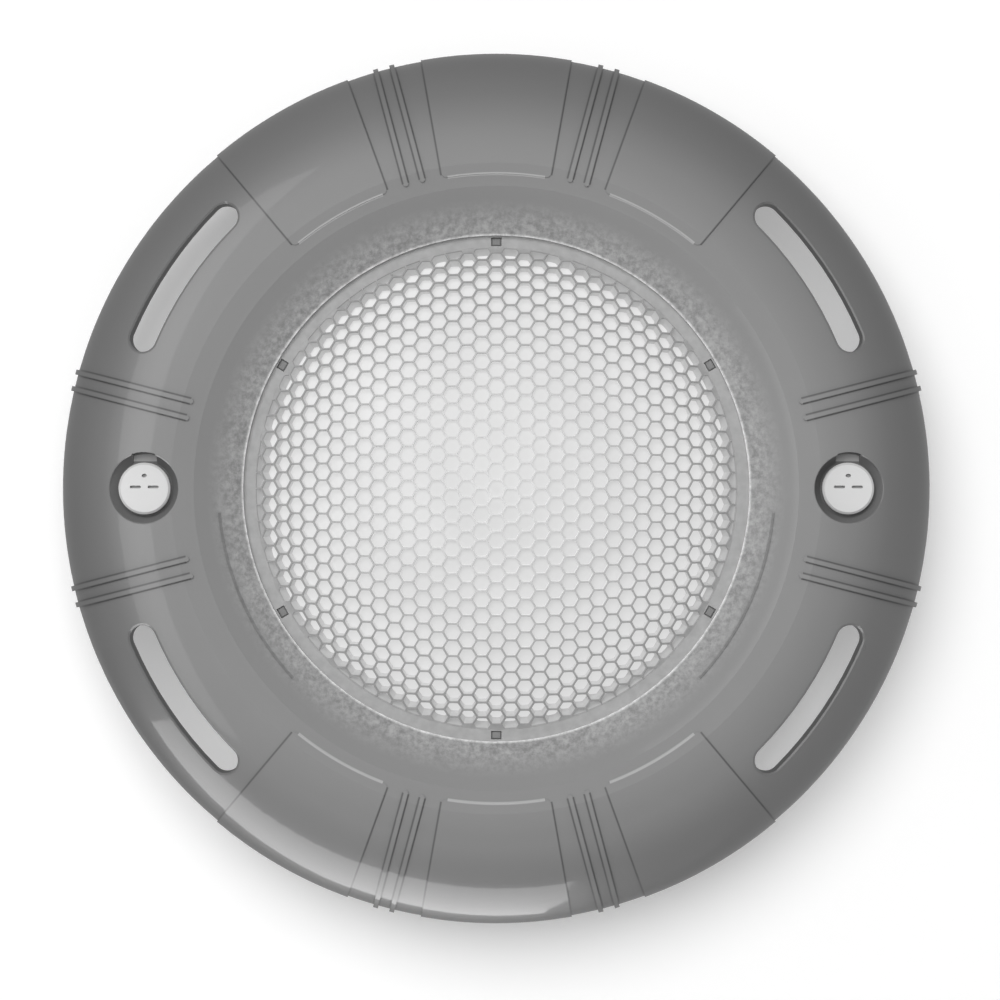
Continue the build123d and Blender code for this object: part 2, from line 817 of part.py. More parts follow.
# ---------------------------------------------------------------- mounting screws, washers and caps
def mounting_screw(x):
    """Pan-head screw with a cross recess; its head sits on the washer in a bezel well."""
    seat = well_floor_depth + washer_thickness + running_gap
    length, width, depth = screw_recess
    with BuildPart() as screw:
        with BuildSketch(facing(screw_tip_depth)):
            with Locations((x, 0)):
                Circle(screw_radius)
        extrude(amount=seat - screw_tip_depth)
        chamfer(screw.faces().sort_by(Axis.Y)[-1].edges(), length=0.8)
        with BuildSketch(facing(seat)):
            with Locations((x, 0)):
                Circle(screw_head_radius)
        extrude(amount=screw_head_height)
        fillet(screw.faces().sort_by(Axis.Y)[0].edges(), radius=1.0)
        with BuildSketch(facing(seat + screw_head_height)):
            with Locations((x, 0)):
                Rectangle(length, width)
                Rectangle(width, length)
        extrude(amount=-depth, mode=Mode.SUBTRACT)
    return screw.part


def cover_cap(x):
    """Push-in cap: bevelled face over the well's ledge, and a hollow plug with a split skirt."""
    with BuildPart() as cap:
        with BuildSketch(facing(well_ledge_depth + running_gap)):
            with Locations((x, 0)):
                Circle(cap_radius)
        extrude(amount=cap_thickness)
        chamfer(cap.faces().sort_by(Axis.Y)[0].edges(), length=cap_edge)
        with BuildSketch(facing(well_ledge_depth + running_gap)):
            with Locations((x, 0)):
                Circle(cap_plug_radius)
                Circle(cap_plug_radius - 1.4, mode=Mode.SUBTRACT)
        extrude(amount=-cap_plug_length)
        # two short slots and a dimple in the face
        with BuildSketch(facing(well_ledge_depth + running_gap + cap_thickness)):
            with Locations((x - 2.9, 0.5), (x + 2.9, 0.5)):
                SlotOverall(3.6, 0.9)
            with Locations((x, 4.2)):
                Ellipse(0.85, 0.6)
        extrude(amount=-cap_mark_depth, mode=Mode.SUBTRACT)
    return cap.part


def washer(x):
    """Flat sealing washer on the floor of a bezel well."""
    with BuildPart() as disc:
        with BuildSketch(facing(well_floor_depth)):
            with Locations((x, 0)):
                Circle(washer_radius)
                Circle(screw_hole_radius, mode=Mode.SUBTRACT)
        extrude(amount=washer_thickness)
    return disc.part


def threaded_insert(x):
    """Brass insert moulded into the top of a bracket tower."""
    with BuildPart() as insert:
        with BuildSketch(facing(tower_top - insert_length)):
            with Locations((x, 0)):
                Circle(insert_radius)
                Circle(insert_bore, mode=Mode.SUBTRACT)
        extrude(amount=insert_length)
    return insert.part


tower_top = well_floor_depth - well_floor_thickness - running_gap
for side, x in (("left", -well_offset), ("right", well_offset)):
    keep(mounting_screw(x), f"{side}_screw")
    keep(washer(x), f"{side}_washer")
    keep(cover_cap(x), f"{side}_cap")
    keep(threaded_insert(x), f"{side}_insert")


# ---------------------------------------------------------------- wall bracket
with BuildPart() as wall_bracket:
    with BuildSketch(facing(0)):
        Circle(bracket_radius)
        SlotOverall(2 * (well_offset + bracket_arm_width / 2), bracket_arm_width)
    extrude(amount=bracket_thickness)
    with BuildSketch(facing(bracket_thickness)):
        Circle(bracket_radius)
        Circle(bracket_radius - bracket_rim_wall, mode=Mode.SUBTRACT)
        Circle(bracket_cable_radius + 4)
    extrude(amount=bracket_rim_height)
    # screw towers with gussets towards the centre
    with BuildSketch(facing(bracket_thickness)):
        with Locations(*wells):
            Circle(tower_radius)
    extrude(amount=tower_top - bracket_thickness)
    with BuildSketch(facing(bracket_thickness)):
        with Locations(*[(x * 0.88, 0) for x, z in wells]):
            Rectangle(gusset_length, gusset_thickness)
    extrude(amount=gusset_height)
    with BuildSketch(facing(0)):
        Circle(bracket_cable_radius)
        with PolarLocations(bracket_screw_circle, 4, start_angle=45):
            Circle(bracket_screw_hole)
    extrude(amount=bracket_thickness + bracket_rim_height, mode=Mode.SUBTRACT)
    with BuildSketch(facing(tower_top - insert_length)):
        with Locations(*wells):
            Circle(insert_radius)
    extrude(amount=insert_length, mode=Mode.SUBTRACT)
    with BuildSketch(facing(screw_tip_depth - 2)):
        with Locations(*wells):
            Circle(insert_bore)
    extrude(amount=tower_top, mode=Mode.SUBTRACT)
keep(wall_bracket.part, "wall_bracket")
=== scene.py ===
from math import asin, ceil, cos, hypot, pi, radians, sin, sqrt

import bmesh
import bpy
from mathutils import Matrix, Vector


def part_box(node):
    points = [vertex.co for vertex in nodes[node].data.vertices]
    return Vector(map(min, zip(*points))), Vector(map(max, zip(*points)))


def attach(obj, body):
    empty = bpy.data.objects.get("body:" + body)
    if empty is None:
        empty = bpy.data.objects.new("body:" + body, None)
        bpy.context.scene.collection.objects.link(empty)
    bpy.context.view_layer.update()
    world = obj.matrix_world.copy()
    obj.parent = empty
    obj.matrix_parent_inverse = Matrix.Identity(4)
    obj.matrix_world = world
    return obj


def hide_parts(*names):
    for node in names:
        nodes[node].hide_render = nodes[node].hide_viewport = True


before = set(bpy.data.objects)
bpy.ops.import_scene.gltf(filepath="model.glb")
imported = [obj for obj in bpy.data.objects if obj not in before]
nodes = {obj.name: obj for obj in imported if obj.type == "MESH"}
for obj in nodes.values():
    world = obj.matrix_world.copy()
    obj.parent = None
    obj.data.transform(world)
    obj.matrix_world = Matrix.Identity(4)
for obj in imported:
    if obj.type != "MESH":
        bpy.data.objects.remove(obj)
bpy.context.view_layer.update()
MM = 0.001

# ---------------------------------------------------------------- sizes from the frame
bezel_low, bezel_high = (Vector(corner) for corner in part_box("bezel"))
guard_low, guard_high = (Vector(corner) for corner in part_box("honeycomb_guard"))
bezel_radius = (bezel_high.x - bezel_low.x) / 2
guard_flange_radius = (guard_high.x - guard_low.x) / 2
guard_apex_y = guard_low.y
guard_back_y = guard_high.y
window_floor_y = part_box("guard_clips")[1][1]
cap_front_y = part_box("left_cap")[0][1]

# the guard's dome, and the flat ring that holds it
ring_thickness = 4.0 * MM
guard_front_y = guard_back_y - ring_thickness
dome_radius = 160.0 * MM
dome_centre_y = guard_apex_y + dome_radius
dome_edge_radius = sqrt(dome_radius**2 - (dome_centre_y - guard_front_y) ** 2)
dome_edge_arc = dome_radius * asin(dome_edge_radius / dome_radius)


# ---------------------------------------------------------------- material helpers
fine_grain = 900.0                           # noise scale of a smooth moulded surface
noise_span = (0.3, 0.7)                      # where most of a noise texture's values lie


def new_material(name):
    """Empty node material with its output and one Principled shader."""
    material = bpy.data.materials.new(name)
    material.use_nodes = True
    tree = material.node_tree
    tree.nodes.clear()
    output = tree.nodes.new("ShaderNodeOutputMaterial")
    shader = tree.nodes.new("ShaderNodeBsdfPrincipled")
    tree.links.new(shader.outputs["BSDF"], output.inputs["Surface"])
    return material, tree, shader


def put(tree, kind, **values):
    """Adds a node and sets its properties, or its inputs where the name is an input's."""
    node = tree.nodes.new(kind)
    for key, value in values.items():
        name = key.replace("_", " ")
        match = [socket for socket in node.inputs if socket.name.lower() == name.lower()]
        if match:
            match[0].default_value = value
        else:
            setattr(node, key, value)
    return node


def noise(tree, coords, scale, detail, roughness=0.5):
    """Noise texture in object space."""
    node = put(tree, "ShaderNodeTexNoise", scale=scale, detail=detail, roughness=roughness)
    tree.links.new(coords, node.inputs["Vector"])
    return node.outputs["Fac"]


def ramp(tree, factor, stops):
    """Colour ramp from a list of (position, colour) stops."""
    node = tree.nodes.new("ShaderNodeValToRGB")
    elements = node.color_ramp.elements
    while len(elements) < len(stops):
        elements.new(0.5)
    for element, (position, colour) in zip(elements, stops):
        element.position = position
        element.color = (*colour, 1.0)
    tree.links.new(factor, node.inputs["Fac"])
    return node.outputs["Color"]


def grey(value):
    """Colour of three equal values."""
    return (value, value, value)


def remap(tree, factor, low, high, to_low=0.0, to_high=1.0):
    """Maps one span of values linearly onto another, and holds its ends."""
    node = put(tree, "ShaderNodeMapRange")
    node.inputs["From Min"].default_value = low
    node.inputs["From Max"].default_value = high
    node.inputs["To Min"].default_value = to_low
    node.inputs["To Max"].default_value = to_high
    tree.links.new(factor, node.inputs["Value"])
    return node.outputs["Result"]


def bump(tree, shader, height, strength, distance):
    """Gives a shader a bump from a height output."""
    node = put(tree, "ShaderNodeBump", strength=strength, distance=distance)
    tree.links.new(height, node.inputs["Height"])
    tree.links.new(node.outputs["Normal"], shader.inputs["Normal"])


def axis_distance(tree, coords):
    """Distance of a point from the light's axis."""
    flat = put(tree, "ShaderNodeVectorMath", operation="MULTIPLY")
    flat.inputs[1].default_value = (1.0, 0.0, 1.0)
    tree.links.new(coords, flat.inputs[0])
    length = put(tree, "ShaderNodeVectorMath", operation="LENGTH")
    tree.links.new(flat.outputs["Vector"], length.inputs[0])
    return length.outputs["Value"]


def plain_colour(tree, colour):
    """One colour, as an output."""
    node = tree.nodes.new("ShaderNodeRGB")
    node.outputs["Color"].default_value = (*colour, 1.0)
    return node.outputs["Color"]


def colour_mix(tree, factor, a, b, blend="MIX"):
    """Mixes two colour outputs by a factor, which may be a number or an output."""
    mix = put(tree, "ShaderNodeMix", data_type="RGBA", blend_type=blend)
    colour_inputs = [socket for socket in mix.inputs if socket.type == "RGBA"]
    if isinstance(factor, float):
        mix.inputs[0].default_value = factor
    else:
        tree.links.new(factor, mix.inputs[0])
    tree.links.new(a, colour_inputs[0])
    tree.links.new(b, colour_inputs[1])
    return [socket for socket in mix.outputs if socket.type == "RGBA"][0]


def tinted(tree, a, b):
    """One colour output multiplied by another."""
    return colour_mix(tree, 1.0, a, b, "MULTIPLY")


def maths(tree, operation, a, b=0.0):
    """Math node on two inputs, each a number or an output."""
    node = tree.nodes.new("ShaderNodeMath")
    node.operation = operation
    for socket, value in zip(node.inputs, (a, b)):
        if isinstance(value, (int, float)):
            socket.default_value = value
        else:
            tree.links.new(value, socket)
    return node.outputs["Value"]


def times(tree, a, b):
    """Product of two values."""
    return maths(tree, "MULTIPLY", a, b)


def minus(tree, a, b):
    """First value less the second."""
    return maths(tree, "SUBTRACT", a, b)


def apart(tree, a, b):
    """Distance between two values."""
    return maths(tree, "ABSOLUTE", minus(tree, a, b))


def between(tree, value, low, high):
    """1 where a value lies between two limits, else 0."""
    above = maths(tree, "GREATER_THAN", value, low)
    below = maths(tree, "LESS_THAN", value, high)
    return times(tree, above, below)


def turned_between(tree, turn, degrees):
    """1 where an angle in radians lies between two limits in degrees, else 0."""
    return between(tree, turn, radians(degrees[0]), radians(degrees[1]))


def object_coords(tree):
    """Position in the frame, from which every texture starts."""
    return tree.nodes.new("ShaderNodeTexCoord").outputs["Object"]


def split_coords(tree, coords):
    """The three coordinates, each as an output."""
    split = tree.nodes.new("ShaderNodeSeparateXYZ")
    tree.links.new(coords, split.inputs["Vector"])
    return split.outputs["X"], split.outputs["Y"], split.outputs["Z"]


def mottled(tree, coords, scale, detail, dark, light):
    """Colour that wanders between two tones."""
    return ramp(tree, noise(tree, coords, scale, detail), list(zip(noise_span, (dark, light))))


def shaded(tree, colour, mask, factor):
    """A colour output multiplied by a factor where a mask is 1."""
    return tinted(tree, colour, ramp(tree, mask, [(0.0, grey(1.0)), (1.0, grey(factor))]))


def surface_grain(tree, shader, coords, scale, rough_span, strength, depth):
    """Fine grain of a moulded surface: gloss between two roughness values, and tiny bumps."""
    grain = noise(tree, coords, scale, 2.0)
    tree.links.new(remap(tree, grain, *noise_span, *rough_span), shader.inputs["Roughness"])
    bump(tree, shader, grain, strength, depth)


def moulded(name, colour, variation, rough):
    """Plain moulded or coated surface: soft mottling, uneven gloss and a fine grain."""
    material, tree, shader = new_material(name)
    coords = object_coords(tree)
    dark = tuple(c * (1 - variation) for c in colour)
    light = tuple(min(1.0, c * (1 + variation)) for c in colour)
    tree.links.new(mottled(tree, coords, 22.0, 4.0, dark, light), shader.inputs["Base Color"])
    surface_grain(tree, shader, coords, fine_grain, (rough - 0.06, rough + 0.06), 0.35, 0.04 * MM)
    return material


def assign(node_name, material):
    """Gives a CAD node a new material in every slot."""
    obj = nodes[node_name]
    if not obj.material_slots:
        obj.data.materials.append(material)
    for slot in obj.material_slots:
        slot.material = material


# ---------------------------------------------------------------- the bezel's material
# its front face: an elliptical outer slope, a narrow crest and a shallow inner cone
crest_radius = 106.0 * MM
crest_depth = 46.0 * MM
crease_radius = 98.6 * MM
crease_depth = 45.1 * MM
slope_foot_depth = 10.0 * MM
cone_slope = 0.4936
crest_slope = 0.1216
opening_radius = 83.0 * MM

# its raised panels and ribs; their turns are in degrees from the vertical
relief_radius = 102.5 * MM
panel_edges = (10.0, 20.0, 40.0)
panel_corner = 2.0 * MM
rib_turns = (15.0, 75.6)
rib_offset = 2.8 * MM
rib_half_width = 0.95 * MM
cone_line_radius = 90.8 * MM
cone_line_turns = (47.0, 85.0)

# its water slots and screw wells
slot_radii = (120.8 * MM, 130.4 * MM)
slot_turns = (40.5, 71.5)
well_x = 115.0 * MM
well_dark_radius = 11.3 * MM
notch_half_width = 3.85 * MM
notch_heights = (8.9 * MM, 12.0 * MM)


def depth_below_face(tree, depth, radius):
    """How far a point lies behind the bezel's front face."""
    share = maths(tree, "DIVIDE", minus(tree, radius, crest_radius), bezel_radius - crest_radius)
    share = maths(tree, "MINIMUM", maths(tree, "MAXIMUM", share, 0.0), 1.0)
    fall = maths(tree, "SQRT", minus(tree, 1.0, times(tree, share, share)))
    face = maths(tree, "MULTIPLY_ADD", fall, crest_depth - slope_foot_depth)
    face.node.inputs[2].default_value = slope_foot_depth
    from_crease = minus(tree, radius, crease_radius)
    for steepness in (cone_slope, crest_slope):
        line = maths(tree, "MULTIPLY_ADD", from_crease, steepness)
        line.node.inputs[2].default_value = crease_depth
        face = maths(tree, "MINIMUM", face, line)
    return minus(tree, face, depth)


def relief_lines(tree, radius, turn, height):
    """Masks of painted shade in the grooves beside the panels and ribs, together with the cone's dark line,
    and of a painted highlight on the panels' bevelled inner ends.
    """
    gap = 1.0
    for edge in panel_edges:
        gap = maths(tree, "MINIMUM", gap, times(tree, apart(tree, turn, radians(edge)), radius))
    for middle in rib_turns:
        offset = times(tree, maths(tree, "SINE", minus(tree, turn, radians(middle))), radius)
        from_rib = apart(tree, maths(tree, "ABSOLUTE", offset), rib_offset)
        gap = maths(tree, "MINIMUM", gap, apart(tree, from_rib, rib_half_width))
    beyond = maths(tree, "GREATER_THAN", radius, relief_radius + panel_corner / 2)
    # painted shade: darker lines in the grooves beside the panels and ribs
    groove_shade_and_line = times(tree, remap(tree, gap, 0.12 * MM, 0.45 * MM, 1.0, 0.0), beyond)

    # the thin moulded line of the inner cone, low on both sides
    from_line = apart(tree, radius, cone_line_radius)
    cone_line = times(tree, remap(tree, from_line, 0.25 * MM, 0.55 * MM, 0.6, 0.0),
                      turned_between(tree, turn, cone_line_turns))
    cone_line = times(tree, cone_line, maths(tree, "LESS_THAN", height, 0.0))
    groove_shade_and_line = maths(tree, "MAXIMUM", groove_shade_and_line, cone_line)

    corner_turn = panel_corner / relief_radius
    middle_edge, near_edge, far_edge = (radians(edge) for edge in panel_edges)
    centre_panel = maths(tree, "LESS_THAN", turn, middle_edge - corner_turn)
    side_panel = between(tree, turn, near_edge + corner_turn, far_edge - corner_turn)
    from_end = apart(tree, radius, relief_radius)
    # painted highlight: the panels' bevelled inner ends are painted brighter
    end_highlight = times(tree, remap(tree, from_end, 0.25 * MM, 0.6 * MM, 1.0, 0.0),
                  maths(tree, "MAXIMUM", centre_panel, side_panel))
    return groove_shade_and_line, end_highlight


def face_colour(tree, coords, radius, cone):
    """Painted shade darkens the slope towards the rim, the cone is mottled near the lens, and a painted
    highlight rings the opening.
    """
    # painted shade: the slope's colour darkens towards the rim, where the slope turns away from the light
    slope_colour = ramp(tree, remap(tree, radius, crest_radius, bezel_radius),
                        [(0.0, grey(0.245)), (0.3, grey(0.220)), (0.6, grey(0.17)), (0.9, grey(0.145))])
    cloudy = mottled(tree, coords, 14.0, 4.0, grey(0.94), grey(1.0))
    near_lens = remap(tree, radius, crease_radius - 4 * MM, crease_radius - 12 * MM)
    speckle = ramp(tree, noise(tree, coords, 480.0, 4.0, 0.7), [(0.34, grey(0.72)), (0.66, grey(1.3))])
    speckle = colour_mix(tree, near_lens, plain_colour(tree, grey(1.0)), speckle)
    cone_colour = ramp(tree, near_lens, [(0.0, grey(0.25)), (1.0, grey(0.31))])
    cone_colour = tinted(tree, cone_colour, speckle)
    colour = tinted(tree, colour_mix(tree, cone, slope_colour, cone_colour), cloudy)
    # painted highlight: a bright ring lifts the bezel's colour at the edge of its opening
    opening_highlight = ramp(tree, remap(tree, radius, opening_radius, opening_radius + 1.0 * MM),
                     [(0.0, grey(2.6)), (0.2, grey(1.9)), (0.45, grey(1.5)), (0.75, grey(1.0))])
    return tinted(tree, colour, opening_highlight)


def bezel_plastic():
    """Grey plastic: glossy outer slope, paler and duller inner cone, painted shade on the walls in its
    openings, and painted shade lines and highlights on its face.
    """
    material, tree, shader = new_material("bezel_plastic")
    coords = object_coords(tree)
    x, y, height = split_coords(tree, coords)
    across = maths(tree, "ABSOLUTE", x)
    turn = maths(tree, "ARCTAN2", across, maths(tree, "ABSOLUTE", height))
    radius = axis_distance(tree, coords)
    below = depth_below_face(tree, times(tree, y, -1.0), radius)
    cone = remap(tree, radius, crease_radius + 1.5 * MM, crease_radius - 2.5 * MM)
    colour = face_colour(tree, coords, radius, cone)
    groove_shade_and_line, end_highlight = relief_lines(tree, radius, turn, height)
    # painted shade in the grooves and the cone's dark line, painted highlight on the panels' inner ends
    colour = shaded(tree, shaded(tree, colour, groove_shade_and_line, 0.5), end_highlight, 1.75)

    # painted shade on the walls in the slots
    in_slot = times(tree, between(tree, radius, *slot_radii), turned_between(tree, turn, slot_turns))
    slot_shade = times(tree, remap(tree, below, 0.8 * MM, 1.5 * MM), in_slot)
    # painted shade on the walls in the wells, but for their small flat notches, whose floors get a pale
    # painted light
    side = minus(tree, across, well_x)
    from_well = maths(tree, "ADD", times(tree, side, side), times(tree, height, height))
    in_well = maths(tree, "LESS_THAN", maths(tree, "SQRT", from_well), well_dark_radius)
    well_shade = times(tree, remap(tree, below, 0.3 * MM, 1.2 * MM), in_well)
    in_notch = times(tree, between(tree, side, -notch_half_width, notch_half_width),
                     between(tree, height, *notch_heights))
    # painted shade: near-black walls in the slots and dark grey walls in the wells; painted light: the
    # notches' floors are pale
    inside = ramp(tree, in_well, [(0.0, grey(0.035)), (1.0, grey(0.15))])
    inside = colour_mix(tree, in_notch, inside, plain_colour(tree, grey(0.42)))
    colour = colour_mix(tree, maths(tree, "MAXIMUM", slot_shade, well_shade), colour, inside)
    tree.links.new(colour, shader.inputs["Base Color"])

    tree.links.new(remap(tree, cone, 0.0, 1.0, 0.40, 0.62), shader.inputs["Roughness"])
    coat = times(tree, remap(tree, cone, 0.0, 1.0, 0.55, 0.0), minus(tree, 1.0, slot_shade))
    tree.links.new(coat, shader.inputs["Coat Weight"])
    shader.inputs["Coat Roughness"].default_value = 0.07
    bump(tree, shader, noise(tree, coords, 1100.0, 3.0), 0.25, 0.05 * MM)
    return material


# ---------------------------------------------------------------- the other CAD nodes' materials
mark_reach = 6.5 * MM                        # the marks in a cap's face lie within this of its middle


def lens_plastic():
    """White diffusing polycarbonate, with painted light: a glow that keeps it evenly bright, stronger
    towards the dome's edge.
    """
    material, tree, shader = new_material("lens_plastic")
    coords = object_coords(tree)
    broad = mottled(tree, coords, 40.0, 3.0, grey(0.24), grey(0.27))
    # painted light: the emission stands in for light on the lens, stronger towards the edge where the
    # deeper cells shade it
    outward = remap(tree, axis_distance(tree, coords), 0.0, dome_edge_radius)
    glow = ramp(tree, outward, [(0.0, grey(0.61)), (0.5, grey(0.63)), (0.8, grey(0.72)), (1.0, grey(0.80))])
    uneven = mottled(tree, coords, 25.0, 2.0, grey(0.97), grey(1.0))
    tree.links.new(broad, shader.inputs["Base Color"])
    tree.links.new(tinted(tree, glow, uneven), shader.inputs["Emission Color"])
    shader.inputs["Emission Strength"].default_value = 0.72
    surface_grain(tree, shader, coords, fine_grain, (0.30, 0.40), 0.15, 0.03 * MM)
    return material


def cap_plastic():
    """White plastic, with painted shade in the bottom of the marks in its face."""
    material, tree, shader = new_material("cap_plastic")
    coords = object_coords(tree)
    x, y, height = split_coords(tree, coords)
    across = minus(tree, maths(tree, "ABSOLUTE", x), well_x)
    squares = maths(tree, "ADD", times(tree, across, across), times(tree, height, height))
    inner = maths(tree, "LESS_THAN", squares, mark_reach**2)
    # painted shade: darker where the surface lies behind the cap's face, within the marks
    sunk = remap(tree, minus(tree, y, cap_front_y), 0.15 * MM, 0.5 * MM)
    white = mottled(tree, coords, 30.0, 4.0, grey(0.66), grey(0.69))
    tree.links.new(shaded(tree, white, times(tree, sunk, inner), 0.6), shader.inputs["Base Color"])
    surface_grain(tree, shader, coords, fine_grain, (0.28, 0.38), 0.2, 0.03 * MM)
    return material


def brushed_metal(name, colour, rough, stretch=(1.0, 40.0, 1.0)):
    """Turned or brushed metal, with streaks across one axis."""
    material, tree, shader = new_material(name)
    mapping = put(tree, "ShaderNodeMapping")
    mapping.inputs["Scale"].default_value = stretch
    tree.links.new(object_coords(tree), mapping.inputs["Vector"])
    streaks = noise(tree, mapping.outputs["Vector"], 160.0, 4.0)
    dark = tuple(c * 0.82 for c in colour)
    tone = ramp(tree, streaks, list(zip(noise_span, (dark, colour))))
    tree.links.new(tone, shader.inputs["Base Color"])
    tree.links.new(remap(tree, streaks, 0.2, 0.8, rough - 0.08, rough + 0.1), shader.inputs["Roughness"])
    shader.inputs["Metallic"].default_value = 1.0
    bump(tree, shader, streaks, 0.2, 0.03 * MM)
    return material


looks = {
    bezel_plastic(): ["bezel"],
    lens_plastic(): ["lens"],
    moulded("clip_plastic", grey(0.22), 0.15, rough=0.5): ["guard_clips"],
    cap_plastic(): ["left_cap", "right_cap"],
    moulded("seal_rubber", grey(0.025), 0.3, rough=0.7):
        ["lens_gasket", "gland_oring", "gland_seal", "left_washer", "right_washer"],
    moulded("housing_plastic", grey(0.11), 0.1, rough=0.45): ["rear_housing"],
    moulded("bracket_plastic", grey(0.34), 0.06, rough=0.5): ["wall_bracket"],
    moulded("gland_nylon", grey(0.06), 0.15, rough=0.45): ["gland_body", "gland_locknut", "gland_nut"],
    moulded("board_mask_white", grey(0.8), 0.03, rough=0.4): ["led_board"],
    moulded("board_mask_green", (0.02, 0.16, 0.07), 0.15, rough=0.35): ["driver_board"],
    moulded("pad_silicone", (0.35, 0.37, 0.42), 0.1, rough=0.75): ["thermal_pad"],
    moulded("phosphor", (0.85, 0.72, 0.25), 0.08, rough=0.3): ["led_packages"],
    moulded("epoxy_black", grey(0.02), 0.3, rough=0.5): ["rectifier", "driver_chips"],
    moulded("terminal_plastic", (0.03, 0.22, 0.08), 0.12, rough=0.4): ["terminal_block"],
    moulded("wire_insulation", (0.4, 0.02, 0.02), 0.12, rough=0.4): ["led_wires"],
    brushed_metal("stainless", (0.62, 0.61, 0.59), 0.28):
        ["bezel_screws", "engine_screws", "left_screw", "right_screw"],
    brushed_metal("turned_brass", (0.72, 0.52, 0.22), 0.28):
        ["left_insert", "right_insert", "board_standoffs"],
    brushed_metal("spun_aluminium", (0.75, 0.76, 0.78), 0.35, (1.0, 1.0, 1.0)): ["heat_sink", "capacitors"],
    brushed_metal("copper_wire", (0.75, 0.32, 0.15), 0.3, (40.0, 1.0, 40.0)): ["inductor"],
}
for material, members in looks.items():
    for member in members:
        assign(member, material)


# ---------------------------------------------------------------- mesh helpers
merge_distance = 0.002 * MM


def finished_object(name, mesh, material, body):
    """Links a mesh as a smooth-shaded piece that rides on a body."""
    obj = bpy.data.objects.new(name, mesh)
    bpy.context.collection.objects.link(obj)
    obj.data.materials.append(material)
    obj.data.polygons.foreach_set("use_smooth", [True] * len(obj.data.polygons))
    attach(obj, body)
    return obj


# ---------------------------------------------------------------- honeycomb guard
middle_depth = 1.1 * MM                      # depth of the cells in the middle and at the dome's edge
edge_depth = 4.6 * MM
depth_growth = 8                             # the power of the distance by which the cells deepen
cell_side = 3.225 * MM                       # hexagons with a flat side at the top and at the bottom
cell_apothem = cell_side * sqrt(3) / 2
rib_half = 0.28 * MM                         # half the thickness of the wall between two cells
border_width = 0.4 * MM                      # solid band between the cells and the dome's edge
back_draft = 0.4 * MM                        # how much the outermost cells narrow towards their backs
least_open_share = 0.22                      # a cut cell with a smaller opening than this is left solid
edge_steps = 3                               # points along each side of a hexagon
corner_rounding = 0.02                       # how far a cell's corners are pulled in, a share of its size
back_clearance = 0.05 * MM                   # between the cells' backs and the back of the guard

# the flat ring
window_count = 6
first_window = 30                            # degrees
half_window = 1.2                            # degrees
window_radii = (79.6 * MM, 82.4 * MM)
ring_steps = 20                              # facets between two windows
ring_chamfer = 2.4 * MM                      # of its inner edge, towards the back


def wall_depth(tilt):
    """Depth of the cells along the dome's normal, at an angle from the axis."""
    share = tilt * dome_radius / dome_edge_arc
    return middle_depth + (edge_depth - middle_depth) * share**depth_growth


def on_dome(u, v, share, sink=0.0):
    """Maps a point of the flat honeycomb onto the dome, a share of the way through its thickness."""
    arc = hypot(u, v)
    tilt = arc / dome_radius
    radius = dome_radius - sink - share * wall_depth(tilt)
    across = radius * sin(tilt) / arc if arc else 0.0
    y = dome_centre_y - radius * cos(tilt)
    return Vector((u * across, min(y, guard_back_y - back_clearance), v * across))


def held_inside(u, v, margin=0.0):
    """Pulls a point of the flat honeycomb back inside the dome's edge if it lies outside."""
    arc = hypot(u, v)
    limit = dome_edge_arc - margin
    return (u, v) if arc <= limit else (u * limit / arc, v * limit / arc)


def polygon_area(points):
    """Area of a flat polygon."""
    following = points[1:] + points[:1]
    return abs(sum(a[0] * b[1] - b[0] * a[1] for a, b in zip(points, following))) / 2


def hexagon_points(u, v, inset, rounding):
    """Points round one cell, moved in from its outline, with its corners pulled in."""
    side = (cell_apothem - inset) * 2 / sqrt(3)
    corners = [(cos(radians(60 * k)), sin(radians(60 * k))) for k in range(7)]
    points = []
    for start, end in zip(corners, corners[1:]):
        for step in range(edge_steps):
            share = step / edge_steps
            pull = side * (1 - rounding if step == 0 else 1.0)
            points.append((u + pull * (start[0] + (end[0] - start[0]) * share),
                           v + pull * (start[1] + (end[1] - start[1]) * share)))
    return points


def honeycomb_centres():
    """Centres of the cells, one of them on the apex."""
    column = 1.5 * cell_side
    row = 2 * cell_apothem
    reach = dome_edge_arc + cell_side
    for i in range(-ceil(reach / column), ceil(reach / column) + 1):
        shift = row / 2 if i % 2 else 0.0
        for j in range(-ceil(reach / row) - 1, ceil(reach / row) + 2):
            if hypot(i * column, j * row + shift) < reach:
                yield i * column, j * row + shift


def join_rings(mesh_bm, outer, inner):
    """Quads between two rings of the same number of vertices."""
    count = len(outer)
    for k in range(count):
        mesh_bm.faces.new((outer[k], inner[k], inner[(k + 1) % count], outer[(k + 1) % count]))


def outline_vertices(mesh_bm, shared, point):
    """Front and back vertex on the line between cells, made once for all the cells that meet there."""
    key = (round(2 * edge_steps * point[0] / cell_side), round(edge_steps * point[1] / cell_apothem))
    if key not in shared:
        held = held_inside(*point)
        shared[key] = (mesh_bm.verts.new(on_dome(*held, 0.0)), mesh_bm.verts.new(on_dome(*held, 1.0)))
    return shared[key]


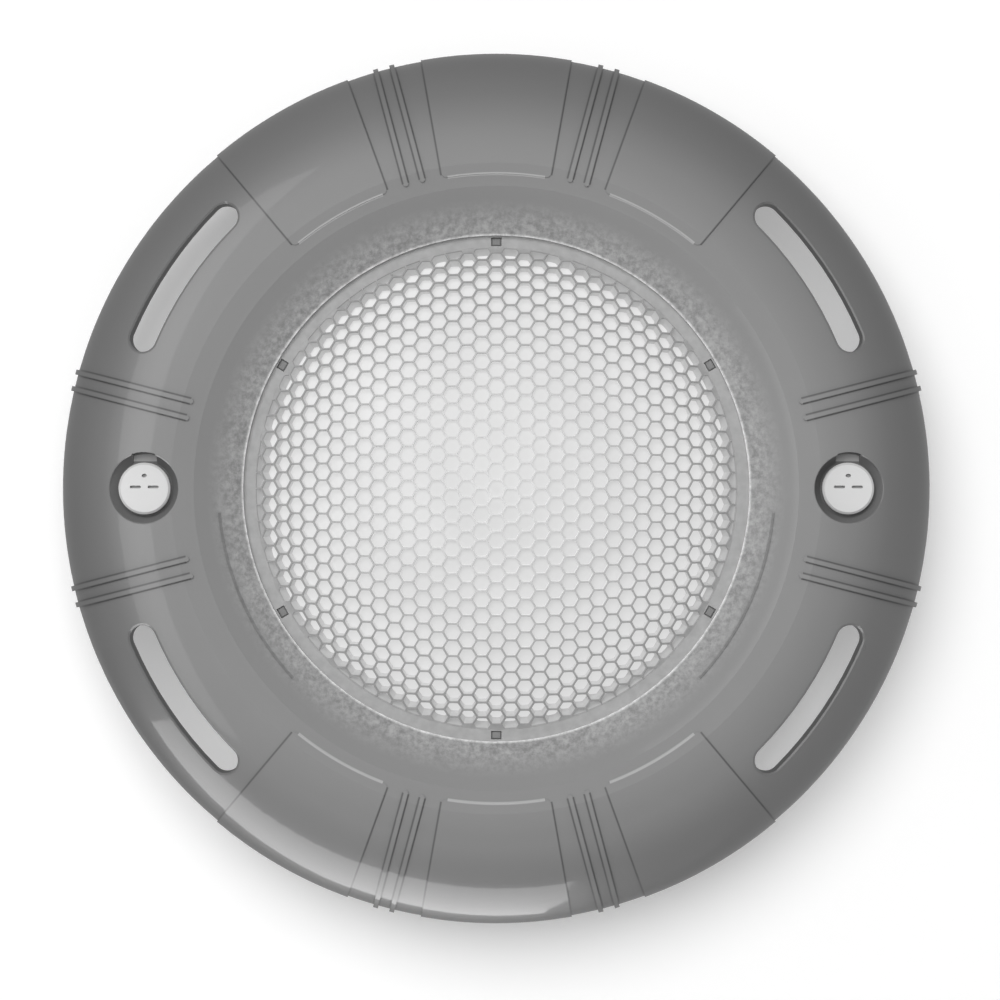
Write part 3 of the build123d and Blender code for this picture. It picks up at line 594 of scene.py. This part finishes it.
def add_cell(mesh_bm, shared, u, v):
    """One hexagon of the guard: an open tube, cut short by the dome's edge, or solid if little is left."""
    pairs = [outline_vertices(mesh_bm, shared, point) for point in hexagon_points(u, v, 0.0, 0.0)]
    front = [pair[0] for pair in pairs]
    behind = [pair[1] for pair in pairs]
    whole = polygon_area(hexagon_points(u, v, rib_half, 0.0))
    opening = [held_inside(*point, border_width) for point in hexagon_points(u, v, rib_half, 0.0)]
    if polygon_area(opening) < least_open_share * whole:
        mesh_bm.faces.new(front)
        mesh_bm.faces.new(behind)
        return
    # the opening's rounded lip, then its wall and its back edge: inset, share of the depth, sink
    lip = ((0.7, 0.0, 0.0), (0.92, 0.0, 0.08 * MM), (1.0, 0.0, 0.25 * MM), (1.08, 1.0, 0.0))
    rings = [front]
    draft = back_draft * min(1.0, hypot(u, v) / dome_edge_arc) ** depth_growth
    for inset_share, share, sink in lip:
        points = hexagon_points(u, v, rib_half * inset_share + share * draft, corner_rounding)
        points = [held_inside(*point, border_width * inset_share) for point in points]
        rings.append([mesh_bm.verts.new(on_dome(*point, share, sink)) for point in points])
    rings.append(behind)
    for outer, inner in zip(rings, rings[1:]):
        join_rings(mesh_bm, outer, inner)


def close_edge(mesh_bm, shared):
    """Wall round the dome's edge, from the front to the back."""
    behind_of = dict(shared.values())
    for edge in [edge for edge in mesh_bm.edges if len(edge.link_faces) == 1]:
        start, end = edge.verts
        if start in behind_of and end in behind_of:
            mesh_bm.faces.new((start, end, behind_of[end], behind_of[start]))


def add_windowed_ring(mesh_bm):
    """Flat ring round the dome, with sunk windows for the clips."""
    pitch = 360 / window_count
    stations = []
    for window in range(window_count):
        middle = first_window + pitch * window
        stations.append((middle - half_window, True))
        step = (pitch - 2 * half_window) / ring_steps
        stations += [(middle + half_window + step * k, False) for k in range(ring_steps)]
    radii = (dome_edge_radius, *window_radii, guard_flange_radius)
    inner_back = dome_edge_radius - ring_chamfer

    def vert(radius, y, angle):
        return mesh_bm.verts.new((radius * cos(radians(angle)), y, radius * sin(radians(angle))))

    def strip(start, end, angle, following):
        """Facet between two points of the ring's outline, each a radius and a y."""
        corners = ((start, angle), (end, angle), (end, following), (start, following))
        mesh_bm.faces.new([vert(*point, at) for point, at in corners])

    for (angle, sunk), (following, _) in zip(stations, stations[1:] + [(stations[0][0] + 360, False)]):
        for band in range(len(radii) - 1):
            inner, outer = radii[band], radii[band + 1]
            corners = ((inner, angle), (outer, angle), (outer, following), (inner, following))
            front = [vert(radius, guard_front_y, at) for radius, at in corners]
            if sunk and band == 1:
                floor = [vert(radius, window_floor_y, at) for radius, at in corners]
                join_rings(mesh_bm, front, floor)
                mesh_bm.faces.new(floor)
            else:
                mesh_bm.faces.new(front)
        strip((inner_back, guard_back_y), (guard_flange_radius, guard_back_y), angle, following)
        strip((guard_flange_radius, guard_front_y), (guard_flange_radius, guard_back_y), angle, following)
        strip((dome_edge_radius, guard_front_y), (inner_back, guard_back_y), angle, following)


def build_guard_mesh():
    """Honeycomb dome, closed at its edge, with the flat ring round it."""
    mesh_bm = bmesh.new()
    shared = {}
    for u, v in honeycomb_centres():
        if any(hypot(*point) < dome_edge_arc for point in hexagon_points(u, v, 0.0, 0.0)):
            add_cell(mesh_bm, shared, u, v)
    close_edge(mesh_bm, shared)
    bmesh.ops.dissolve_degenerate(mesh_bm, edges=mesh_bm.edges, dist=merge_distance)
    dome_vertices = set(mesh_bm.verts)
    add_windowed_ring(mesh_bm)
    ring_vertices = [vert for vert in mesh_bm.verts if vert not in dome_vertices]
    bmesh.ops.remove_doubles(mesh_bm, verts=ring_vertices, dist=merge_distance)
    bmesh.ops.recalc_face_normals(mesh_bm, faces=mesh_bm.faces)
    mesh = bpy.data.meshes.new("honeycomb_dome")
    mesh_bm.to_mesh(mesh)
    mesh_bm.free()
    return mesh


def guard_plastic():
    """Grey moulded plastic with painted light and shade: it darkens towards the dome's edge, and a glow
    stands in for the lens's light through its thin walls, most of all in the middle.
    """
    material, tree, shader = new_material("guard_plastic")
    coords = object_coords(tree)
    outward = remap(tree, axis_distance(tree, coords), 0.0, dome_edge_radius)
    # the walls of the cells are what lies deeper in the dome than their lips
    from_centre = put(tree, "ShaderNodeVectorMath", operation="DISTANCE")
    from_centre.inputs[1].default_value = (0.0, dome_centre_y, 0.0)
    tree.links.new(coords, from_centre.inputs[0])
    sunk = minus(tree, dome_radius, from_centre.outputs["Value"])
    within_dome = maths(tree, "LESS_THAN", outward, 0.995)
    wall = times(tree, remap(tree, sunk, 0.25 * MM, 0.6 * MM), within_dome)
    # painted light and shade: the walls are painted paler than the tops, as if lit by the lens, and both
    # darken towards the dome's edge
    top_colour = ramp(tree, outward, [(0.0, grey(0.66)), (0.4, grey(0.59)), (0.62, grey(0.49)),
                                      (0.8, grey(0.39)), (0.97, grey(0.34)), (1.0, grey(0.40))])
    wall_colour = ramp(tree, outward, [(0.0, grey(0.75)), (0.5, grey(0.66)),
                                       (0.8, grey(0.54)), (1.0, grey(0.40))])
    mottle = mottled(tree, coords, 380.0, 3.0, grey(0.86), grey(1.0))
    colour = tinted(tree, colour_mix(tree, wall, top_colour, wall_colour), mottle)
    tree.links.new(colour, shader.inputs["Base Color"])
    # painted light: the emission stands in for the lens's light through the walls, and through the lips in
    # the middle
    top_glow = ramp(tree, outward, [(0.0, grey(0.3)), (0.45, grey(0.12)), (0.7, grey(0.0))])
    wall_glow = ramp(tree, outward, [(0.0, grey(1.0)), (0.5, grey(0.7)),
                                     (0.8, grey(0.45)), (1.0, grey(0.36))])
    tree.links.new(colour_mix(tree, wall, top_glow, wall_glow), shader.inputs["Emission Color"])
    shader.inputs["Emission Strength"].default_value = 0.42
    surface_grain(tree, shader, coords, 1400.0, (0.42, 0.55), 0.3, 0.04 * MM)
    return material


sharp_angle = 40                             # degrees
guard_mesh = build_guard_mesh()
guard_piece = finished_object("honeycomb_dome", guard_mesh, guard_plastic(), "light_head")
guard_piece.data.set_sharp_from_angle(angle=radians(sharp_angle))
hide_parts("honeycomb_guard")


# ---------------------------------------------------------------- stage, lights and camera
def stage_plane(name, corners, material):
    """Four-cornered plane that belongs to the stage, not to the part."""
    mesh = bpy.data.meshes.new(name)
    mesh.from_pydata(corners, [], [(0, 1, 2, 3)])
    obj = bpy.data.objects.new(name, mesh)
    obj.data.materials.append(material)
    bpy.context.collection.objects.link(obj)
    return obj


def area_light(name, location, target, size, power, shape="DISK"):
    """Soft light that isn't seen in the gloss."""
    data = bpy.data.lights.new(name, "AREA")
    data.shape = shape
    data.size = size
    data.energy = power
    obj = bpy.data.objects.new(name, data)
    obj.visible_glossy = False
    obj.location = location
    obj.rotation_euler = (Vector(target) - Vector(location)).to_track_quat("-Z", "Y").to_euler()
    bpy.context.collection.objects.link(obj)
    return obj


def reflected_panel(name, location, target, width, length, power):
    """Glowing panel that shows in the gloss but casts no light on matte surfaces."""
    panel = area_light(name, location, target, width, power, "RECTANGLE")
    panel.data.size_y = length
    panel.visible_glossy = True
    panel.visible_diffuse = False
    return panel


def stage_paint(name, one_sided, glow):
    """Pale matte paint; a one-sided surface can't be seen from behind."""
    material, tree, shader = new_material(name)
    mottle = mottled(tree, object_coords(tree), 3.0, 3.0, grey(0.77), grey(0.79))
    tree.links.new(mottle, shader.inputs["Base Color"])
    shader.inputs["Roughness"].default_value = 0.85
    shader.inputs["Specular IOR Level"].default_value = 0.1
    shader.inputs["Emission Color"].default_value = (1, 1, 1, 1)
    shader.inputs["Emission Strength"].default_value = glow
    if one_sided:
        facing = tree.nodes.new("ShaderNodeNewGeometry")
        clear = tree.nodes.new("ShaderNodeBsdfTransparent")
        choose = tree.nodes.new("ShaderNodeMixShader")
        tree.links.new(facing.outputs["Backfacing"], choose.inputs["Fac"])
        tree.links.new(shader.outputs["BSDF"], choose.inputs[1])
        tree.links.new(clear.outputs["BSDF"], choose.inputs[2])
        output = [node for node in tree.nodes if node.type == "OUTPUT_MATERIAL"][0]
        tree.links.new(choose.outputs["Shader"], output.inputs["Surface"])
    return material


wall_y = 0.022         # a backdrop that stands a little behind the wall plane, to catch the soft shadow
floor_z = -1.25
half = 3.0             # half the width of the backdrop and of the floor
upright = ((-half, floor_z), (half, floor_z), (half, half), (-half, half))
level = ((-half, -half), (half, -half), (half, half), (-half, half))
backdrop_corners = [(x, wall_y, z) for x, z in upright]
floor_corners = [(x, y, floor_z) for x, y in level]
backdrop = stage_plane("backdrop", backdrop_corners, stage_paint("backdrop_paint", True, 0.27))
# the backdrop is only seen: the gloss doesn't show it, and it neither lights nor shades anything
backdrop.visible_glossy = False
backdrop.visible_shadow = False
backdrop.visible_diffuse = False
stage_plane("floor", floor_corners, stage_paint("floor_paint", False, 0.0))

world = bpy.data.worlds.new("studio")
bpy.context.scene.world = world
world.use_nodes = True
world.node_tree.nodes["Background"].inputs["Color"].default_value = (1, 1, 1, 1)
world.node_tree.nodes["Background"].inputs["Strength"].default_value = 0.35
bpy.context.scene.view_settings.view_transform = "Standard"

centre = (0, -0.03, 0)
area_light("key", (-0.28, -1.85, 0.55), centre, 1.3, 28)
area_light("left_fill", (-1.1, -0.45, 0.45), centre, 0.8, 0.6)
area_light("rear_fill", (1.1, 0.6, -0.6), centre, 1.2, 6)
# the panels give a bright streak low on the outer slope, and a soft band down its left side
low_panel = reflected_panel("low_panel", (-0.5, 0.12, -0.78), (-0.5, 0.12, 0), 1.25, 0.64, 8.5)
low_panel.rotation_euler.rotate_axis("Z", radians(-6))
reflected_panel("left_panel", (-1.35, -1.5, 0.25), centre, 1.1, 2.6, 14)

camera_data = bpy.data.cameras.new("camera")
camera = bpy.data.objects.new("camera", camera_data)
bpy.context.collection.objects.link(camera)
bpy.context.scene.camera = camera
camera_distance = 1.25
camera.location = (0, -camera_distance, 0)
camera.rotation_euler = (pi / 2, 0, 0)
camera_data.sensor_width = 36.0
rim_share = 0.4327           # the rim's radius as a share of the picture's width
rim_distance = camera_distance - slope_foot_depth
camera_data.lens = camera_data.sensor_width * rim_share * rim_distance / bezel_radius
camera_data.shift_x = 0.0037
camera_data.shift_y = -0.0115
